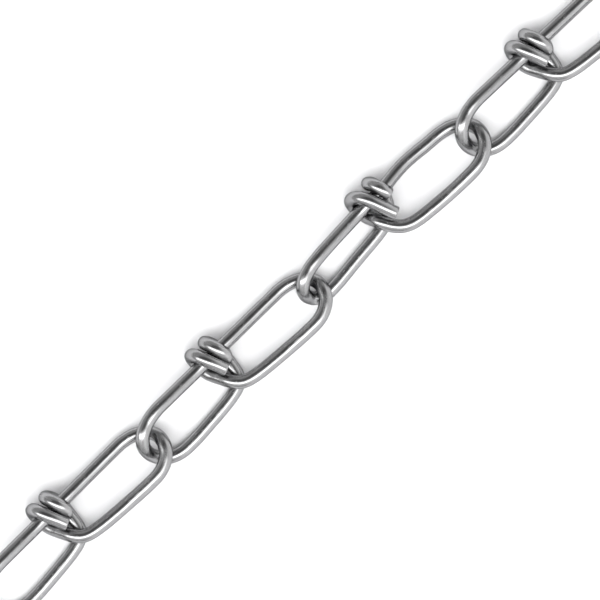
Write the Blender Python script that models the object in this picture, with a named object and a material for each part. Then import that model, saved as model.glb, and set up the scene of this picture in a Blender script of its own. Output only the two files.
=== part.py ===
# A length of double loop chain: each link is one steel wire, bent into a long and a short loop and knotted
# round itself between them. The chain lies straight on the floor along X, with its knots towards +Y.
import math
import bpy
from mathutils import Vector

MM = 0.001
DEGREE = math.radians(1)

# Driving dimensions
WIRE = 3.8 * MM
PITCH = 60.0 * MM
LONG_REACH = 35.6 * MM
SHORT_REACH = 29.5 * MM
LONG_WIDTH = 13.35 * MM
SHORT_WIDTH = 13.10 * MM

# Strands that lie on each other keep a small gap, and so do the turns of a knot round the core wire
STRAND_GAP = 0.3 * MM
TURN_RADIUS = WIRE + 0.1 * MM
LOW = WIRE / 2
HIGH = LOW + WIRE + STRAND_GAP

# A long loop's end lies over the next link's short loop on one side and under it on the other: the level of
# each loop's end on both sides, and the degrees round the end over which it falls
LONG_LEVELS = (1.2, 0.35)
LONG_FALL = (58, 138)
SHORT_LEVELS = (1.8, 0.0)
SHORT_FALL = (50, 130)

# Each link along the chain: how it is knotted, how far it lies off the line, and its slant in degrees.
# The third has a looser knot and a narrow short loop.
LINKS = [("tight", 0.1 * MM, 0.6), ("tight", 0.0, 0.0), ("loose", 0.0, 0.0), ("tight", -0.8 * MM, -1.0),
         ("tight", -0.8 * MM, 0.8)]

# The first knot's place, which centres the chain on the origin
FIRST_X = -123.10 * MM
CORE_Y = 5.26 * MM

# How finely the wire is divided, and the turn of its section that lays one flat side on the floor
STEP = 1.6 * MM
SECTION_RESOLUTION = 2
SECTION_TILT = -17.64 * DEGREE


def at(x, y, level):
    """A point of the wire in millimetres from the knot, with level 0 on the floor and 1 on a strand below."""
    return Vector((x * MM, y * MM, LOW + level * (HIGH - LOW)))


def round_core(x, degrees):
    """A point of a knot's turn: 90 degrees is over the core wire, 0 beside it and -90 under it."""
    angle = degrees * DEGREE
    return Vector((x * MM, TURN_RADIUS * math.cos(angle), HIGH + TURN_RADIUS * math.sin(angle)))


def crown(start, tip, end, levels, fall_range):
    """The end of a loop, as two quarter ellipses from leg to leg, that falls from its first level to its last."""
    points = []
    for degrees in range(10, 180, 20):
        angle = degrees * DEGREE
        corner = start if degrees < 90 else end
        x = corner[0] + (tip[0] - corner[0]) * math.sin(angle)
        y = tip[1] + (corner[1] - tip[1]) * abs(math.cos(angle))
        fall = min(1.0, max(0.0, (degrees - fall_range[0]) / (fall_range[1] - fall_range[0])))
        points.append(at(x, y, levels[0] + (levels[1] - levels[0]) * fall * fall * (3 - 2 * fall)))
    return points


def tight_knot_link():
    """From the first free end round the core, the long loop, the short loop, to the second free end."""
    long_tip = (LONG_REACH / MM, -6.4)
    short_tip = (-SHORT_REACH / MM, -6.4)
    long_low = -LONG_WIDTH / MM
    short_low = -SHORT_WIDTH / MM
    route = [at(1.05, -4.80, 1.78), at(0.50, -2.76, 1.91), at(0.02, -1.46, 1.95)]
    first_turn = [(90, -0.60), (67, -1.20), (45, -1.75), (22, -2.30), (0, -2.75), (-22, -3.10), (-45, -3.30),
                  (-67, -3.40), (-90, -3.35)]
    route += [round_core(x, degrees) for degrees, x in first_turn]
    route += [at(-3.05, -2.43, 0.05), at(-2.40, -4.06, 0.17), at(-1.70, -5.40, 0.36), at(-0.97, -6.77, 0.58),
              at(-0.14, -8.20, 0.82), at(0.81, -9.53, 0.97), at(1.98, -10.66, 1.0), at(3.79, -11.50, 1.0)]
    route += [at(7.3, -12.2, 1.0), at(12.7, -12.7, 1.0), at(18.0, -13.05, 1.0), at(23.5, long_low, 1.1)]
    route += crown((27.0, long_low), long_tip, (25.5, 0.0), LONG_LEVELS, LONG_FALL)
    route += [at(23.0, 0.0, 0.44), at(18.0, 0.0, 0.56), at(12.0, 0.0, 0.75), at(7.5, 0.0, 0.92),
              at(4.0, 0.0, 1.0)]
    route += [at(0.0, 0.0, 1.0), at(-4.0, 0.0, 1.0), at(-9.0, 0.0, 1.20), at(-14.5, 0.0, 1.52)]
    route += crown((-18.5, 0.0), short_tip, (-21.0, short_low), SHORT_LEVELS, SHORT_FALL)
    route += [at(-18.0, short_low, 0.0), at(-12.5, -12.7, 0.0), at(-7.5, -12.25, 0.0), at(-3.5, -11.75, 0.0),
              at(-0.80, -11.15, 0.0)]
    route += [at(1.10, -10.30, 0.0), at(2.15, -9.25, 0.0), at(2.75, -7.58, 0.0), at(3.10, -5.40, 0.0),
              at(3.40, -2.98, 0.0)]
    second_turn = [(-90, 3.55), (-67, 3.35), (-45, 2.95), (-22, 2.50), (0, 2.20), (22, 2.25), (45, 2.60),
                   (67, 3.15), (90, 3.60), (112, 4.15), (135, 4.45)]
    route += [round_core(x, degrees) for degrees, x in second_turn]
    return route + [at(4.35, -4.30, 1.15)]


def loose_knot_link():
    """The same link with a slack knot: a long first tail, turns that lean more, and a narrow short loop."""
    long_tip = (LONG_REACH / MM, -6.4)
    short_tip = (-SHORT_REACH / MM + 0.3, -5.9)
    route = [at(3.85, -7.60, 1.72), at(3.20, -5.90, 1.83), at(2.00, -2.70, 1.93)]
    first_turn = [(90, 1.00), (67, 0.25), (45, -0.60), (22, -1.50), (0, -2.30), (-22, -2.80), (-45, -3.05),
                  (-67, -3.10), (-90, -3.05)]
    route += [round_core(x, degrees) for degrees, x in first_turn]
    route += [at(-2.55, -2.30, 0.15), at(-1.95, -3.75, 0.50), at(-1.30, -5.20, 0.86), at(-0.60, -6.70, 1.0),
              at(0.25, -8.30, 1.0), at(1.35, -9.75, 1.0), at(2.70, -11.00, 1.0), at(4.40, -11.90, 1.0)]
    route += [at(6.9, -12.55, 1.0), at(12.2, -13.1, 1.0), at(17.6, -13.45, 1.0), at(23.0, -13.6, 1.1)]
    route += crown((26.5, -13.5), long_tip, (25.5, 0.2), LONG_LEVELS, LONG_FALL)
    route += [at(22.5, 0.45, 0.45), at(18.0, 0.85, 0.56), at(14.5, 1.0, 0.66), at(10.5, 0.75, 0.81),
              at(7.2, 0.30, 0.94)]
    route += [at(4.5, 0.0, 1.0), at(0.0, 0.0, 1.0), at(-4.0, -0.05, 1.0), at(-9.0, -0.3, 1.20),
              at(-14.5, -0.6, 1.52)]
    route += crown((-18.5, -1.0), short_tip, (-24.0, -9.7), SHORT_LEVELS, SHORT_FALL)
    route += [at(-20.5, -9.6, 0.0), at(-15.0, -8.98, 0.0), at(-9.5, -8.42, 0.0), at(-4.5, -7.90, 0.0),
              at(-2.0, -7.50, 0.0)]
    route += [at(0.20, -6.90, 0.0), at(2.00, -5.85, 0.0), at(3.50, -4.25, 0.0), at(4.60, -2.20, 0.0)]
    second_turn = [(-90, 5.10), (-67, 5.05), (-45, 4.80), (-22, 4.35), (0, 3.90), (22, 3.95), (45, 4.45),
                   (67, 5.00), (90, 5.45), (112, 5.80), (128, 6.00)]
    return route + [round_core(x, degrees) for degrees, x in second_turn]


def smooth(points, step):
    """A centripetal Catmull-Rom curve through the points at nearly even steps, kept on or above the floor."""
    before = points[0] * 2 - points[1]
    after = points[-1] * 2 - points[-2]
    line = [before] + points + [after]
    samples = [points[0]]
    for p0, p1, p2, p3 in zip(line, line[1:], line[2:], line[3:]):
        t1 = (p1 - p0).length ** 0.5
        t2 = t1 + (p2 - p1).length ** 0.5
        t3 = t2 + (p3 - p2).length ** 0.5
        count = max(1, round((p2 - p1).length / step))
        for i in range(1, count + 1):
            t = t1 + (t2 - t1) * i / count
            a1 = p0.lerp(p1, t / t1)
            a2 = p1.lerp(p2, (t - t1) / (t2 - t1))
            a3 = p2.lerp(p3, (t - t2) / (t3 - t2))
            b1 = a1.lerp(a2, t / t2)
            b2 = a2.lerp(a3, (t - t1) / (t3 - t1))
            place = b1.lerp(b2, (t - t1) / (t2 - t1))
            place.z = max(place.z, LOW)
            samples.append(place)
    return samples


def clear_scene():
    for item in list(bpy.data.objects):
        bpy.data.objects.remove(item, do_unlink=True)


def bright_steel():
    material = bpy.data.materials.new("bright_steel_wire")
    material.use_nodes = True
    shader = material.node_tree.nodes["Principled BSDF"]
    shader.inputs["Base Color"].default_value = (0.60, 0.60, 0.61, 1.0)
    shader.inputs["Metallic"].default_value = 1.0
    shader.inputs["Roughness"].default_value = 0.25
    return material


def wire_along(name, route):
    """One wire of round section along a route, with flat cut ends."""
    curve = bpy.data.curves.new(name, "CURVE")
    curve.dimensions = "3D"
    curve.bevel_depth = WIRE / 2
    curve.bevel_resolution = SECTION_RESOLUTION
    curve.use_fill_caps = True
    spline = curve.splines.new("POLY")
    spline.points.add(len(route) - 1)
    for point, place in zip(spline.points, route):
        point.co = (*place, 1.0)
        point.tilt = SECTION_TILT
    return bpy.data.objects.new(name, curve)


def main():
    clear_scene()
    collection = bpy.data.collections.new("double_loop_chain")
    bpy.context.scene.collection.children.link(collection)
    steel = bright_steel()
    routes = {"tight": tight_knot_link(), "loose": loose_knot_link()}
    for number, (knot, offset, slant) in enumerate(LINKS):
        link = wire_along(f"link_{number + 1}", smooth(routes[knot], STEP))
        link.data.materials.append(steel)
        link.location = (FIRST_X + PITCH * number, CORE_Y + offset, 0)
        link.rotation_euler.z = slant * DEGREE
        collection.objects.link(link)


main()
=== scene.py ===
# Looks of a length of double loop chain: five links of bright drawn steel wire, each bent into a long and a
# short loop and knotted round itself, on a white bench top under a soft light from the front.
import bisect
import math
import bpy
from mathutils import Matrix, Vector, noise


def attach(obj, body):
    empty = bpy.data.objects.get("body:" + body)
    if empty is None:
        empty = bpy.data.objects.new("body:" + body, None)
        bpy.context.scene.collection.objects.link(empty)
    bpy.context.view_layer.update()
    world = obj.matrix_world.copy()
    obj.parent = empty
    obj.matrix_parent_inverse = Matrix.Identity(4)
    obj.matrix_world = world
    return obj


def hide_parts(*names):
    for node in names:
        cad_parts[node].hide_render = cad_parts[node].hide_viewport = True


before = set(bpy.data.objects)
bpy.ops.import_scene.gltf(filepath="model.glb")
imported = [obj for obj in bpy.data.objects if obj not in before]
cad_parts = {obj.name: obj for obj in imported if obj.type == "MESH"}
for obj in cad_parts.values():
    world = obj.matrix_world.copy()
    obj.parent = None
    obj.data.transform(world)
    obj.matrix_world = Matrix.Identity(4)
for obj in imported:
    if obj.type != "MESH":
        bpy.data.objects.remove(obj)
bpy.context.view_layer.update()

MM = 0.001
DEGREE = math.radians(1)

# Sizes of the wire and the links, as in the part's source
WIRE = 3.8 * MM
PITCH = 60.0 * MM
LONG_REACH = 35.6 * MM
SHORT_REACH = 29.5 * MM
LONG_WIDTH = 13.35 * MM
SHORT_WIDTH = 13.10 * MM
STRAND_GAP = 0.3 * MM
TURN_RADIUS = WIRE + 0.1 * MM
LOW = WIRE / 2
HIGH = LOW + WIRE + STRAND_GAP
LONG_LEVELS = (1.2, 0.35)
LONG_FALL = (58, 138)
SHORT_LEVELS = (1.8, 0.0)
SHORT_FALL = (50, 130)

# Each link along the chain: how it is knotted, how far it lies off the line, and its slant in degrees
LINKS = [("tight", 0.1 * MM, 0.6), ("tight", 0.0, 0.0), ("loose", 0.0, 0.0), ("tight", -0.8 * MM, -1.0),
         ("tight", -0.8 * MM, 0.8)]
FIRST_X = -123.10 * MM
CORE_Y = 5.26 * MM

# Fineness of the visible wire: rings along it, sides round it, and the reach over which bends are eased
RING_STEP = 0.4 * MM
SIDES = 32
EASING = 0.6 * MM

# Camera: straight above, turned so that the chain climbs to the right
VIEW_CENTRE = Vector((-34.34 * MM, -0.56 * MM, 5.0 * MM))
VIEW_TURN = 44.27 * DEGREE
VIEW_WIDTH = 162.4 * MM
CAMERA_HEIGHT = 1.2

# Cut ends: how slanting each cut is in degrees, towards which side it is shorter, and how its rim is rounded
SQUARE_CUT = (8, Vector((0, 0, 1)))
SLANTED_CUT = (42, Vector((1, 0, 0)))
RIM = [(0.0, 0.86), (0.10 * MM, 0.95), (0.28 * MM, 1.0)]

# Light: the slopes between which the long soft box stands in front, and how far it reaches to both sides
BOX_SLOPES = (0.0, 0.3, 0.5, 0.85)
BOX_SIDES = (-0.9, -0.3, 1.8, 2.4)
BOX_GLOW = (5.0, 5.5)
CEILING = 0.12
WALLS = 0.6
FRONT = 0.5
RIGHT = 0.8
FLOOR_LAMP = 0.2


class Socket:
    """A shader output that Python's arithmetic can be written on."""

    def __init__(self, link, tree):
        self.link = link
        self.tree = tree

    def _math(self, operation, *values):
        return self.tree.node("ShaderNodeMath", {"operation": operation}, dict(enumerate(values)))

    def __add__(self, other):
        return self._math("ADD", self, other)

    def __radd__(self, other):
        return self._math("ADD", other, self)

    def __sub__(self, other):
        return self._math("SUBTRACT", self, other)

    def __rsub__(self, other):
        return self._math("SUBTRACT", other, self)

    def __mul__(self, other):
        return self._math("MULTIPLY", self, other)

    def __rmul__(self, other):
        return self._math("MULTIPLY", other, self)

    def __truediv__(self, other):
        return self._math("DIVIDE", self, other)

    def __pow__(self, other):
        return self._math("POWER", self, other)

    def clamp(self, low=0.0, high=1.0):
        return self._math("MINIMUM", self._math("MAXIMUM", self, low), high)

    def ramp(self, start, end, low=0.0, high=1.0):
        """A smooth rise from low to high while the value goes from start to end."""
        settings = {"interpolation_type": "SMOOTHSTEP"}
        values = {"Value": self, "From Min": start, "From Max": end, "To Min": low, "To Max": high}
        return self.tree.node("ShaderNodeMapRange", settings, values, "Result")


class Tree:
    """A node tree and the one way in which nodes are added to it."""

    def __init__(self, owner):
        owner.use_nodes = True
        self.tree = owner.node_tree
        self.tree.nodes.clear()

    def node(self, kind, settings, values, output=0):
        node = self.tree.nodes.new(kind)
        for name, value in settings.items():
            setattr(node, name, value)
        for name, value in values.items():
            if isinstance(value, Socket):
                self.tree.links.new(value.link, node.inputs[name])
            else:
                node.inputs[name].default_value = value
        return Socket(node.outputs[output], self) if node.outputs else None

    def colour(self, factor, low, high):
        values = {0: factor, 6: low, 7: high}
        return self.node("ShaderNodeMix", {"data_type": "RGBA"}, values, 2)

    def noise(self, place, scale, detail=2.0, roughness=0.5):
        values = {"Vector": place, "Scale": scale, "Detail": detail, "Roughness": roughness}
        return self.node("ShaderNodeTexNoise", {}, values)

    def along(self, look, direction):
        values = {0: look, 1: direction}
        return self.node("ShaderNodeVectorMath", {"operation": "DOT_PRODUCT"}, values, "Value")

    def stretched(self, place, scale):
        values = {0: place, 1: scale}
        return self.node("ShaderNodeVectorMath", {"operation": "MULTIPLY"}, values)


def grey(level):
    return (level, level, level * 1.01, 1.0)


def at(x, y, level):
    """A point of the wire in millimetres from the knot, with level 0 on the floor and 1 on a strand below."""
    return Vector((x * MM, y * MM, LOW + level * (HIGH - LOW)))


def round_core(x, degrees):
    """A point of a knot's turn: 90 degrees is over the core wire, 0 beside it and -90 under it."""
    angle = degrees * DEGREE
    return Vector((x * MM, TURN_RADIUS * math.cos(angle), HIGH + TURN_RADIUS * math.sin(angle)))


def crown(start, tip, end, levels, fall_range):
    """The end of a loop, as two quarter ellipses from leg to leg, that falls from its first level to its last."""
    points = []
    for degrees in range(10, 180, 20):
        angle = degrees * DEGREE
        corner = start if degrees < 90 else end
        x = corner[0] + (tip[0] - corner[0]) * math.sin(angle)
        y = tip[1] + (corner[1] - tip[1]) * abs(math.cos(angle))
        fall = min(1.0, max(0.0, (degrees - fall_range[0]) / (fall_range[1] - fall_range[0])))
        points.append(at(x, y, levels[0] + (levels[1] - levels[0]) * fall * fall * (3 - 2 * fall)))
    return points


def tight_knot_link():
    """From the first free end round the core, the long loop, the short loop, to the second free end."""
    long_tip = (LONG_REACH / MM, -6.4)
    short_tip = (-SHORT_REACH / MM, -6.4)
    long_low = -LONG_WIDTH / MM
    short_low = -SHORT_WIDTH / MM
    route = [at(1.72, -5.75, 1.72), at(1.20, -4.60, 1.80), at(0.55, -2.76, 1.91), at(0.02, -1.46, 1.95)]
    first_turn = [(90, -0.60), (67, -1.20), (45, -1.75), (22, -2.30), (0, -2.75), (-22, -3.10), (-45, -3.30),
                  (-67, -3.40), (-90, -3.35)]
    route += [round_core(x, degrees) for degrees, x in first_turn]
    route += [at(-3.05, -2.43, 0.05), at(-2.40, -4.06, 0.17), at(-1.70, -5.40, 0.36), at(-0.97, -6.77, 0.58),
              at(-0.14, -8.20, 0.82), at(0.81, -9.53, 0.97), at(1.98, -10.66, 1.0), at(3.79, -11.50, 1.0)]
    route += [at(7.3, -12.2, 1.0), at(12.7, -12.7, 1.0), at(18.0, -13.05, 1.0), at(23.5, long_low, 1.1)]
    route += crown((27.0, long_low), long_tip, (25.5, 0.0), LONG_LEVELS, LONG_FALL)
    route += [at(23.0, 0.0, 0.44), at(18.0, 0.0, 0.56), at(12.0, 0.0, 0.75), at(7.5, 0.0, 0.92),
              at(4.0, 0.0, 1.0)]
    route += [at(0.0, 0.0, 1.0), at(-4.0, 0.0, 1.0), at(-9.0, 0.0, 1.20), at(-14.5, 0.0, 1.52)]
    route += crown((-18.5, 0.0), short_tip, (-21.0, short_low), SHORT_LEVELS, SHORT_FALL)
    route += [at(-18.0, short_low, 0.0), at(-12.5, -12.7, 0.0), at(-7.5, -12.25, 0.0), at(-3.5, -11.75, 0.0),
              at(-0.80, -11.15, 0.0)]
    route += [at(1.10, -10.30, 0.0), at(2.15, -9.25, 0.0), at(2.75, -7.58, 0.0), at(3.10, -5.40, 0.0),
              at(3.40, -2.98, 0.0)]
    second_turn = [(-90, 3.55), (-67, 3.35), (-45, 2.95), (-22, 2.50), (0, 2.20), (22, 2.25), (45, 2.60),
                   (67, 3.15), (90, 3.60), (112, 4.00), (135, 4.20)]
    route += [round_core(x, degrees) for degrees, x in second_turn]
    return route + [at(4.00, -4.20, 1.10)]


def loose_knot_link():
    """The same link with a slack knot: a long first tail, turns that lean more, and a narrow short loop."""
    long_tip = (LONG_REACH / MM, -6.4)
    short_tip = (-SHORT_REACH / MM + 0.3, -5.9)
    route = [at(3.85, -7.60, 1.72), at(3.20, -5.90, 1.83), at(2.00, -2.70, 1.93)]
    first_turn = [(90, 1.00), (67, 0.25), (45, -0.60), (22, -1.50), (0, -2.30), (-22, -2.80), (-45, -3.05),
                  (-67, -3.10), (-90, -3.05)]
    route += [round_core(x, degrees) for degrees, x in first_turn]
    route += [at(-2.55, -2.30, 0.15), at(-1.95, -3.75, 0.50), at(-1.30, -5.20, 0.86), at(-0.60, -6.70, 1.0),
              at(0.25, -8.30, 1.0), at(1.35, -9.75, 1.0), at(2.70, -11.00, 1.0), at(4.40, -11.90, 1.0)]
    route += [at(6.9, -12.55, 1.0), at(12.2, -13.1, 1.0), at(17.6, -13.45, 1.0), at(23.0, -13.6, 1.1)]
    route += crown((26.5, -13.5), long_tip, (25.5, 0.2), LONG_LEVELS, LONG_FALL)
    route += [at(22.5, 0.45, 0.45), at(18.0, 0.85, 0.56), at(14.5, 1.0, 0.66), at(10.5, 0.75, 0.81),
              at(7.2, 0.30, 0.94)]
    route += [at(4.5, 0.0, 1.0), at(0.0, 0.0, 1.0), at(-4.0, -0.05, 1.0), at(-9.0, -0.3, 1.20),
              at(-14.5, -0.6, 1.52)]
    route += crown((-18.5, -1.0), short_tip, (-24.0, -9.7), SHORT_LEVELS, SHORT_FALL)
    route += [at(-20.5, -9.6, 0.0), at(-15.0, -8.98, 0.0), at(-9.5, -8.42, 0.0), at(-4.5, -7.90, 0.0),
              at(-2.0, -7.50, 0.0)]
    route += [at(0.20, -6.90, 0.0), at(2.00, -5.85, 0.0), at(3.50, -4.25, 0.0), at(4.60, -2.20, 0.0)]
    second_turn = [(-90, 5.10), (-67, 5.05), (-45, 4.80), (-22, 4.35), (0, 3.90), (22, 3.95), (45, 4.45),
                   (67, 5.00), (90, 5.45), (112, 5.80), (128, 6.00)]
    return route + [round_core(x, degrees) for degrees, x in second_turn]


def smooth(points, step):
    """A centripetal Catmull-Rom curve through the points at nearly even steps, kept on or above the floor."""
    before = points[0] * 2 - points[1]
    after = points[-1] * 2 - points[-2]
    line = [before] + points + [after]
    samples = [points[0]]
    for p0, p1, p2, p3 in zip(line, line[1:], line[2:], line[3:]):
        t1 = (p1 - p0).length ** 0.5
        t2 = t1 + (p2 - p1).length ** 0.5
        t3 = t2 + (p3 - p2).length ** 0.5
        count = max(1, round((p2 - p1).length / step))
        for i in range(1, count + 1):
            t = t1 + (t2 - t1) * i / count
            a1 = p0.lerp(p1, t / t1)
            a2 = p1.lerp(p2, (t - t1) / (t2 - t1))
            a3 = p2.lerp(p3, (t - t2) / (t3 - t2))
            b1 = a1.lerp(a2, t / t2)
            b2 = a2.lerp(a3, (t - t1) / (t3 - t1))
            place = b1.lerp(b2, (t - t1) / (t2 - t1))
            place.z = max(place.z, LOW)
            samples.append(place)
    return samples


def eased(line, reach):
    """The line with its bends evened out over a short reach, and both ends kept."""
    rounds = max(1, round((reach / RING_STEP) ** 2))
    for _ in range(rounds):
        middle = [line[i].lerp((line[i - 1] + line[i + 1]) / 2, 0.5) for i in range(1, len(line) - 1)]
        line = [line[0]] + middle + [line[-1]]
    return line


def wire_frames(line):
    """Centre, side and up directions of each ring, carried along the wire without twist."""
    tangents = []
    for i in range(len(line)):
        ahead = line[min(i + 1, len(line) - 1)]
        behind = line[max(i - 1, 0)]
        tangents.append((ahead - behind).normalized())
    side = tangents[0].cross(Vector((0, 0, 1))).normalized()
    frames = []
    for centre, tangent in zip(line, tangents):
        side = (side - tangent * side.dot(tangent)).normalized()
        frames.append((centre, side, tangent.cross(side), tangent))
    return frames


def place_on(frames, lengths, distance):
    """Centre, side and up directions of the wire at a distance along it."""
    ring = min(max(bisect.bisect(lengths, distance) - 1, 0), len(frames) - 2)
    share = (distance - lengths[ring]) / (lengths[ring + 1] - lengths[ring])
    here, there = frames[ring], frames[ring + 1]
    return [here[i].lerp(there[i], share) for i in range(3)]


def cut_back(cut, out, distance):
    """Where a line along the wire's surface that is this far from the end stands once the end is cut."""
    slant, shorter = cut
    depth = math.tan(slant * DEGREE) * WIRE / 2
    most = 2 * depth + 1.0 * MM
    back = depth * (1 + out.dot(shorter))
    return back + distance * (most - back) / most if distance < most else distance


def wire_mesh(name, line, cuts):
    """A round wire along the line, a little uneven, with cropped ends, and its unrolled place on each point."""
    frames = wire_frames(line)
    lengths = [0.0]
    for before, after in zip(frames, frames[1:]):
        lengths.append(lengths[-1] + (after[0] - before[0]).length)
    total = lengths[-1]
    margin = 0.5 * MM
    rows = [(distance, width, 0) for distance, width in RIM]
    for distance in lengths:
        if margin < distance < total - margin:
            rows.append((min(distance, total - distance), 1.0, int(distance > total / 2)))
    rows += [(distance, width, 1) for distance, width in reversed(RIM)]
    verts = []
    rolled = []
    faces = []
    for distance, width, end in rows:
        for i in range(SIDES):
            angle = 2 * math.pi * i / SIDES
            along = total - distance if end else distance
            side, up = place_on(frames, lengths, along)[1:]
            out = side * math.cos(angle) + up * math.sin(angle)
            shifted = cut_back(cuts[end], out, distance)
            along = total - shifted if end else shifted
            centre, side, up = place_on(frames, lengths, along)
            out = side * math.cos(angle) + up * math.sin(angle)
            uneven = 0.012 * MM * noise.noise(Vector((out.x * 2, out.y * 2, along / (7 * MM))))
            verts.append(centre + out * ((WIRE / 2 - 0.012 * MM) * width + uneven))
            rolled.append((math.cos(angle) * WIRE / 2, math.sin(angle) * WIRE / 2, along))
    rings = len(rows)
    for ring in range(rings - 1):
        for i in range(SIDES):
            j = (i + 1) % SIDES
            base = ring * SIDES
            faces.append((base + i, base + j, base + SIDES + j, base + SIDES + i))
    faces.append(tuple(reversed(range(SIDES))))
    faces.append(tuple(range((rings - 1) * SIDES, rings * SIDES)))
    mesh = bpy.data.meshes.new(name)
    mesh.from_pydata([tuple(v) for v in verts], [], faces)
    attribute = mesh.attributes.new("unrolled", "FLOAT_VECTOR", "POINT")
    attribute.data.foreach_set("vector", [value for place in rolled for value in place])
    for polygon in mesh.polygons:
        polygon.use_smooth = len(polygon.vertices) == 4
    return mesh


def drawn_steel():
    """Bright drawn wire: fine lines along it, faint cloudy patches and small dull rubs."""
    material = bpy.data.materials.new("bright_drawn_steel")
    tree = Tree(material)
    unrolled = tree.node("ShaderNodeAttribute", {"attribute_name": "unrolled"}, {}, "Vector")
    lines = tree.noise(tree.stretched(unrolled, (1.0, 1.0, 0.03)), 4200.0, 3.0)
    clouds = tree.noise(tree.stretched(unrolled, (1.0, 1.0, 0.5)), 420.0, 3.0)
    rubs = tree.noise(tree.stretched(unrolled, (1.0, 1.0, 0.3)), 1100.0, 4.0).ramp(0.55, 0.75)
    colour = tree.colour((clouds * 0.8 + lines * 0.4).clamp(), grey(0.25), grey(0.37))
    roughness = 0.17 + clouds * 0.12 + rubs * 0.12
    height = lines * 0.6 + clouds * 1.5
    bump = tree.node("ShaderNodeBump", {}, {"Strength": 0.25, "Distance": 0.03 * MM, "Height": height})
    values = {"Base Color": colour, "Metallic": 1.0, "Roughness": roughness, "Normal": bump,
              "Specular Tint": grey(0.3)}
    shader = tree.node("ShaderNodeBsdfPrincipled", {}, values)
    tree.node("ShaderNodeOutputMaterial", {}, {"Surface": shader})
    return material


def white_bench():
    material = bpy.data.materials.new("white_bench_top")
    tree = Tree(material)
    values = {"Base Color": grey(0.92), "Roughness": 0.8}
    shader = tree.node("ShaderNodeBsdfPrincipled", {}, values)
    tree.node("ShaderNodeOutputMaterial", {}, {"Surface": shader})
    return material


def make_links(steel):
    routes = {"tight": tight_knot_link(), "loose": loose_knot_link()}
    for number, (knot, offset, slant) in enumerate(LINKS, start=1):
        line = eased(smooth(routes[knot], RING_STEP), EASING)
        cuts = (SQUARE_CUT, SLANTED_CUT if knot == "tight" else SQUARE_CUT)
        mesh = wire_mesh(f"link_{number}_wire", line, cuts)
        place = Matrix.Translation((FIRST_X + PITCH * (number - 1), CORE_Y + offset, 0))
        mesh.transform(place @ Matrix.Rotation(slant * DEGREE, 4, "Z"))
        mesh.materials.append(steel)
        link = bpy.data.objects.new(f"link_{number}_wire", mesh)
        bpy.context.scene.collection.objects.link(link)
        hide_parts(f"link_{number}")
        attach(link, f"link_{number}_body")


def make_floor():
    mesh = bpy.data.meshes.new("bench_top")
    half = 3.0
    mesh.from_pydata([(-half, -half, 0), (half, -half, 0), (half, half, 0), (-half, half, 0)], [], [(0, 1, 2, 3)])
    mesh.materials.append(white_bench())
    floor = bpy.data.objects.new("bench_top", mesh)
    bpy.context.scene.collection.objects.link(floor)


def make_camera():
    data = bpy.data.cameras.new("photo_view")
    data.sensor_width = 36.0
    data.lens = 36.0 * (CAMERA_HEIGHT - VIEW_CENTRE.z) / VIEW_WIDTH
    data.clip_start = 0.01
    camera = bpy.data.objects.new("photo_view", data)
    camera.location = (VIEW_CENTRE.x, VIEW_CENTRE.y, CAMERA_HEIGHT)
    camera.rotation_euler = (0, 0, -VIEW_TURN)
    bpy.context.scene.collection.objects.link(camera)
    bpy.context.scene.camera = camera


def make_lights():
    """A room with a dim ceiling, pale walls, light from the front and the right and a long soft box in front."""
    front = (-math.sin(VIEW_TURN), -math.cos(VIEW_TURN), 0)
    right = (math.cos(VIEW_TURN), -math.sin(VIEW_TURN), 0)
    world = bpy.data.worlds.new("studio_room")
    bpy.context.scene.world = world
    tree = Tree(world)
    look = tree.node("ShaderNodeTexCoord", {}, {}, "Generated")
    forward = tree.along(look, front)
    rightward = tree.along(look, right)
    upward = tree.along(look, (0, 0, 1))
    height = upward.clamp(0.02)
    slope = forward / height
    aside = 0 - rightward / height
    box = slope.ramp(*BOX_SLOPES[:2]) * slope.ramp(*BOX_SLOPES[2:], 1, 0)
    box = box * aside.ramp(*BOX_SIDES[:2]) * aside.ramp(*BOX_SIDES[2:], 1, 0)
    strength = upward.ramp(0.55, 0.85, WALLS, CEILING) + box * aside.ramp(0.1, 0.8, *BOX_GLOW)
    strength = strength + forward.ramp(0.15, 0.5, 0, FRONT) * upward.ramp(0.1, 0.5)
    strength = strength + rightward.ramp(0.2, 0.6, 0, RIGHT)
    background = tree.node("ShaderNodeBackground", {}, {"Color": (1, 1, 1, 1), "Strength": strength})
    tree.node("ShaderNodeOutputWorld", {}, {"Surface": background})

    data = bpy.data.lights.new("floor_lamp", "AREA")
    data.shape = "DISK"
    data.size = 0.8
    data.energy = FLOOR_LAMP * math.pi * math.pi * 1.7 ** 2
    lamp = bpy.data.objects.new("floor_lamp", data)
    lamp.location = Vector(front) * 0.5 + Vector((0, 0, 1.7))
    lamp.visible_glossy = False
    lamp.visible_camera = False
    bpy.context.scene.collection.objects.link(lamp)


make_camera()
make_links(drawn_steel())
make_floor()
make_lights()
bpy.context.scene.view_settings.view_transform = "Standard"
